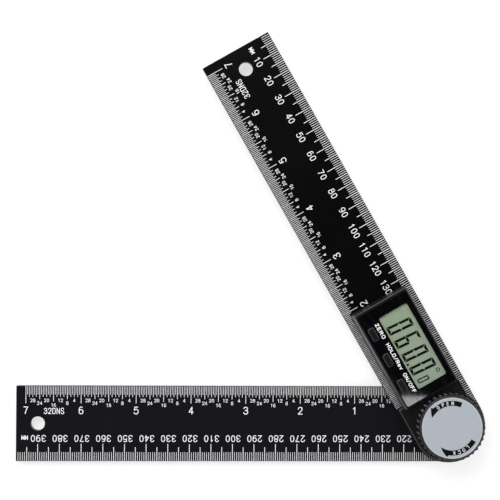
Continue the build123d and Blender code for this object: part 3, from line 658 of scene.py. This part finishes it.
DIGIT_BOTTOM = 12.66        # on the glass
POINT_SIDE = np.array([1.0])
digits = []
for shown, start in (("abcdef", 53.8), ("acdefg", 46.75), ("abcdef", 39.7), ("abcdef", 32.6)):
    digits += segment_digit(shown, start, -3.5, width=4.15, height=12.2, pen=SEGMENT_PEN,
                            bottom=DIGIT_BOTTOM)
digits += segment_digit("abcdef", 26.35, -2.85, width=2.15, height=5.6, pen=0.6, bottom=DIGIT_BOTTOM)
digits.append(ring_of_ink(25.86 * UPPER_OUT + 8.0 * UPPER_EDGE, radius=0.75, pen=0.38,
                          bottom=DIGIT_BOTTOM))
digits.append(bars((34.56 * UPPER_OUT - 2.98 * UPPER_EDGE)[None], POINT_SIDE, POINT_SIDE, UPPER_TURN,
                   DIGIT_BOTTOM))
segment_ink = ink_finish("segment_black", (0.002, 0.004, 0.003), (0.006, 0.009, 0.007), 0.1)
piece("display_digits", digits, segment_ink, "display_arm")


# ---- button names -------------------------------------------------------------------------
# The three buttons' names are printed in white on the window plate, between the buttons and the
# display, in heavy plain capitals.
NAME_BOTTOM = 13.3          # on the window plate
names = []
for words, middle, length in (("ZERO", 54.4, 7.7), ("HOLD/Rev", 41.05, 13.6), ("ON/OFF", 27.2, 9.9)):
    names += lettering(words, middle * UPPER_OUT - 6.42 * UPPER_EDGE, UPPER_TURN + math.pi, height=1.78,
                       weight=0.34, bottom=NAME_BOTTOM, length=length)
piece("button_names", names, ink_finish("name_white", (0.82, 0.83, 0.85), (0.60, 0.61, 0.63)),
      "display_arm")


# ---- buttons ------------------------------------------------------------------------------
# Three small keys in black plastic with bevelled tops, standing a little proud of the window plate.
# Their bevels are painted paler: a painted highlight for the glint on their edges.
KEY_PITCH, FIRST_KEY, KEY_ASIDE = 13.5, 27.5, 9.94      # along from the pivot, and to the side


def key_finish():
    """Black, with a bevel painted paler as a highlight where the distance along or aside from the nearest
    key's middle, which repeats with the keys' pitch, is near half its length or width."""
    black = moulded_finish("button_black", (0.003, 0.003, 0.004), (0.012, 0.012, 0.013), 0.22, 6.0,
                           0.006, UPPER_TURN, 0.5)
    step = black.place.axis(0) / KEY_PITCH + (0.5 - FIRST_KEY / KEY_PITCH)
    along = ((step.maths("FRACT", step) - 0.5) * KEY_PITCH).size().rise(2.8, 3.05)
    aside = (black.place.axis(1) - KEY_ASIDE).size().rise(1.1, 1.3)
    # Painted highlight: the paler bevels stand for the glint of light on the keys' edges.
    bevel_highlight = along.maths("MAXIMUM", along, aside) * black.place.grain(0.7, 3.0).rise(0.2, 0.5)
    black.gets(Base_Color=bevel_highlight.between(black.shade, (0.045, 0.045, 0.05)))
    return black


key_finish().on("zero_button", "hold_button", "power_button")


# ---- circuit board and its parts ----------------------------------------------------------
# One green board fills the box. It carries the controller, three switches for the buttons, two
# striped rubber strips that feed the glass, a white frame that holds it and the cell's two contacts.
def board_finish():
    """Green lacquer, raised and paler over copper tracks: bands of a brick pattern along the board."""
    board = Finish("board_green", UPPER_TURN, Specular_IOR_Level=0.6)
    tracks = board.place.node(
        "TexBrick", {"offset": 0.37, "squash": 1.0},
        {"Vector": board.place, "Color1": (1, 1, 1), "Color2": (0.7, 0.7, 0.7), "Mortar": (0, 0, 0),
         "Scale": 1.0, "Mortar Size": 0.16, "Mortar Smooth": 0.2, "Brick Width": 6.4, "Row Height": 0.8})
    level = tracks.axis(0)
    weave = board.place.grain(4.0, 3.0)
    board.gets(
        Base_Color=(level * 0.8 + weave * 0.2).between((0.006, 0.050, 0.020), (0.016, 0.115, 0.045)),
        Roughness=0.26 + 0.14 * weave,
        Normal=level.relief(0.03),
    )
    return board


board_finish().on("main_board")
moulded_finish("chip_black", (0.016, 0.016, 0.017), (0.045, 0.045, 0.045), 0.48, 8.0, 0.006, UPPER_TURN).on(
    "controller_chip", "tact_switches")
moulded_finish("frame_white", (0.66, 0.66, 0.63), (0.78, 0.78, 0.76), 0.45, 4.0, 0.008, UPPER_TURN).on(
    "lcd_frame")


def striped_finish(name, one, other, pitch, roughness, turn, direction):
    """Even stripes of two colours: which half of its pitch a place falls in, across one direction."""
    striped = Finish(name, turn, Specular_IOR_Level=0.4)
    place = striped.place.axis(direction) / pitch
    share = place.maths("FRACT", place + 200.0)
    stripe = share.rise(0.06, 0.12) * share.rise(0.56, 0.50)
    tooth = striped.place.grain(5.0, 3.0)
    striped.gets(
        Base_Color=stripe.between(one, other),
        Roughness=roughness + 0.12 * tooth,
        Normal=(stripe * 0.6 + tooth * 0.4).relief(0.015),
    )
    return striped


striped_finish("zebra_stripes", (0.55, 0.55, 0.52), (0.02, 0.02, 0.02), 0.5, 0.5, UPPER_TURN, 0).on(
    "zebra_strips")
striped_finish("flex_amber", (0.40, 0.19, 0.025), (0.62, 0.34, 0.10), 0.8, 0.28, UPPER_TURN, 1).on(
    "sensor_flex")


def sheet_finish(name, colour, roughness, turn=0.0):
    """Rolled and plated sheet: long fine streaks along the strip, with a few dull spots."""
    sheet = Finish(name, turn, Metallic=1.0)
    streak = sheet.place.stretched(0.4, 9.0, 9.0).grain(1.0, 4.0)
    spots = sheet.place.grain(1.4, 3.0).rise(0.6, 0.8)
    sheet.gets(
        Base_Color=(spots * 0.5 + streak * 0.2).between(colour, tuple(0.6 * c for c in colour)),
        Roughness=roughness + 0.16 * streak + 0.1 * spots,
        Normal=streak.relief(0.004),
    )
    return sheet


sheet_finish("spring_plating", (0.62, 0.60, 0.55), 0.24, UPPER_TURN).on(
    "contact_negative", "contact_positive", "wave_spring")


# ---- battery and its door -----------------------------------------------------------------
# A plain coin cell in a bright nickel can. Its round door is black like the arm, turned with a coin,
# and a soft black ring seals it.
sheet_finish("cell_nickel", (0.70, 0.69, 0.66), 0.16, UPPER_TURN).on("battery")
moulded_finish("door_black", (0.007, 0.007, 0.008), (0.03, 0.03, 0.033), 0.42, 4.0, 0.015, UPPER_TURN).on(
    "battery_door")
moulded_finish("seal_black", (0.012, 0.012, 0.012), (0.03, 0.03, 0.03), 0.6, 5.0, 0.006).on("door_seal")


# ---- lock knob ----------------------------------------------------------------------------
# The knob is moulded in matt black with teeth for grip and holds a threaded brass insert. A silver
# disc is let into its top, spun with fine rings, and carries two black arrows for the two turns.
def grip_finish():
    """Matt black, with grey patches painted on the tips of the teeth, where the radius is largest, as painted
    glints.
    """
    black = moulded_finish("knob_black", (0.0015, 0.0015, 0.002), (0.008, 0.008, 0.009), 0.26, 3.6,
                           0.006, specular=0.5)
    # Painted highlight: the grey specks on the teeth's tips stand for glints of light on their edges.
    tip_glints = black.radius().rise(15.2, 15.35) * black.place.grain(0.8, 3.0).rise(0.35, 0.6)
    black.gets(Base_Color=tip_glints.between(black.shade, (0.16, 0.16, 0.17)))
    return black


grip_finish().on("knob")


def label_finish():
    """Satin silver: very fine rings as noise of the radius alone, and a lighter rim that is a painted
    highlight of the disc's edge.
    """
    silver = Finish("label_silver", Metallic=0.2, Specular_IOR_Level=0.3)
    radius = silver.radius()
    rings = radius.node("TexNoise", {"noise_dimensions": "1D"}, {"W": radius, "Scale": 9.0, "Detail": 4.0})
    cloud = silver.place.grain(0.12, 3.0)
    # Painted highlight: the lighter band at the rim stands for light caught by the disc's edge.
    rim = radius.rise(13.3, 13.5)
    silver.gets(
        Base_Color=(rim * 0.4 + rings * 0.3 + cloud * 0.2).between((0.36, 0.39, 0.43), (0.52, 0.55, 0.59)),
        Roughness=0.42 + 0.1 * rings + 0.06 * cloud,
        Normal=rings.relief(0.003),
    )
    return silver


label_finish().on("knob_label")

LABEL_TOP = 16.92
ARROW_OUTER, ARROW_INNER, WORD_RADIUS = 12.5, 10.2, 11.36       # from the pivot's axis
BAND_STEPS, HEAD_STEPS = 40, 12


def turn_arrow(tail, shoulder, barb, tip, barb_radius, tip_radius):
    """A bent arrow as a film between two radii, by angle in degrees: an even band from the tail to
    the shoulder, then a harpoon head whose outer edge juts to barb_radius and runs in to the tip."""
    band = np.linspace(tail, shoulder, BAND_STEPS)
    head = np.linspace(0.0, 1.0, HEAD_STEPS)
    angle = np.radians(np.concatenate([band, barb + head * (tip - barb)]))
    outer = np.concatenate([0 * band + ARROW_OUTER, barb_radius + head * (tip_radius - barb_radius)])
    inner = np.concatenate([0 * band + ARROW_INNER,
                            ARROW_INNER + head**2 * (tip_radius - ARROW_INNER - 0.05)])
    edges = [r[:, None] * np.stack([np.cos(angle), np.sin(angle)], 1) for r in (outer, inner)]
    right, left = edges if tip > tail else edges[::-1]
    return film(right, left, LABEL_TOP)


arrow_ink = ink_finish("arrow_black", (0.004, 0.004, 0.005), (0.012, 0.012, 0.013), 0.05)
arrows = [turn_arrow(68.5, 134.0, 137.0, 153.0, 13.45, 10.4),
          turn_arrow(-30.0, -98.0, -99.6, -120.8, 13.4, 10.1)]
piece("knob_arrows", arrows, arrow_ink, "lock_knob")

words = []
for letters, places in (("OPEN", (125.0, 112.5, 101.0, 89.5)), ("LOCK", (-50.3, -61.8, -73.0, -85.4))):
    for letter, degrees in zip(letters, places):
        a = math.radians(degrees)
        words += lettering(letter, WORD_RADIUS * np.array([math.cos(a), math.sin(a)]), a - math.pi / 2,
                           height=1.7, weight=0.25, bottom=LABEL_TOP + INK_FILM)
piece("knob_words", words, ink_finish("word_silver", (0.66, 0.69, 0.73), (0.50, 0.53, 0.57)), "lock_knob")


# ---- floor, light and camera --------------------------------------------------------------
# The tool lies on a white acrylic sheet lit from behind, in a tent whose sides glow and whose top is
# dark, with a softbox behind it. A small lamp above shows in the corner of the window.
def lit_floor(half_side, level, n=12):
    """A square sheet of n by n cells: corner (i, j) is its place in an even grid, at one level."""
    sheet = Finish("lit_acrylic", Specular_IOR_Level=0.1, Emission_Color=(1.0, 1.0, 1.0, 1.0),
                   Emission_Strength=0.67)
    fibre = sheet.place.grain(0.02, 3.0)
    sheet.gets(
        Base_Color=fibre.between((0.35, 0.35, 0.35), (0.38, 0.38, 0.38)),
        Roughness=0.7 + 0.1 * fibre,
    )
    x, y = np.meshgrid(*[np.linspace(-half_side, half_side, n + 1)] * 2, indexing="ij")
    points = np.stack([x, y, 0 * x + level], axis=-1).reshape(-1, 3) * MM
    i, j = np.meshgrid(np.arange(n), np.arange(n), indexing="ij")
    first, ahead = (n + 1) * i + j, (n + 1) * i + j + n + 1
    cells = np.stack([first, ahead, ahead + 1, first + 1], -1).reshape(-1, 4)
    mesh = bpy.data.meshes.new("floor")
    mesh.from_pydata(points.tolist(), [], cells.tolist())
    mesh.materials.append(sheet.material)
    floor = bpy.data.objects.new("floor", mesh)
    bpy.context.scene.collection.objects.link(floor)
    return floor


lit_floor(3000.0, -0.02)


def lamp(name, place, aim, wide, deep, watts):
    """A rectangular softbox that faces the point it is aimed at."""
    light = bpy.data.lights.new(name, "AREA")
    light.shape, light.size, light.size_y, light.energy = "RECTANGLE", wide, deep, watts
    made = bpy.data.objects.new(name, light)
    made.location = place
    forward = np.array(aim, float) - place
    level = math.hypot(forward[0], forward[1])
    made.rotation_euler = (math.atan2(level, -forward[2]), 0.0, math.atan2(-forward[0], forward[1]))
    bpy.context.scene.collection.objects.link(made)


lamp("key_lamp", (-0.55, 1.05, 1.0), (-0.05, 0.05, 0.0), 1.4, 1.2, 19.0)
lamp("small_lamp", (0.134, -0.095, 0.913), (0.134, -0.095, 0.0), 0.034, 0.018, 0.0155)

world = bpy.data.worlds.new("light_tent")
world.use_nodes = True
tent = world.node_tree
upward = Wire(tent, tent.nodes.new("ShaderNodeTexCoord").outputs["Generated"]).axis(2)
glow = upward.node("ValToRGB", {"stops": [
    (0.0, (0.6, 0.6, 0.6)), (0.2, (0.8, 0.8, 0.8)), (0.35, (1.4, 1.4, 1.4)), (0.7, (1.4, 1.4, 1.4)),
    (0.86, (0.01, 0.01, 0.01))]}, {"Fac": upward})
tent.links.new(glow.socket, tent.nodes["Background"].inputs["Color"])
bpy.context.scene.world = world

# The camera looks almost straight down, from where the photograph was taken.
camera = bpy.data.objects.new("camera", bpy.data.cameras.new("camera"))
camera.data.lens, camera.data.sensor_width = 90.324, 36.0
camera.location = (-0.11456, 0.07775, 0.58618)
camera.rotation_euler = tuple(math.radians(a) for a in (0.28533556, -2.17514334, 0.37402954))
bpy.context.scene.collection.objects.link(camera)
bpy.context.scene.camera = camera
bpy.context.scene.view_settings.view_transform = "Standard"
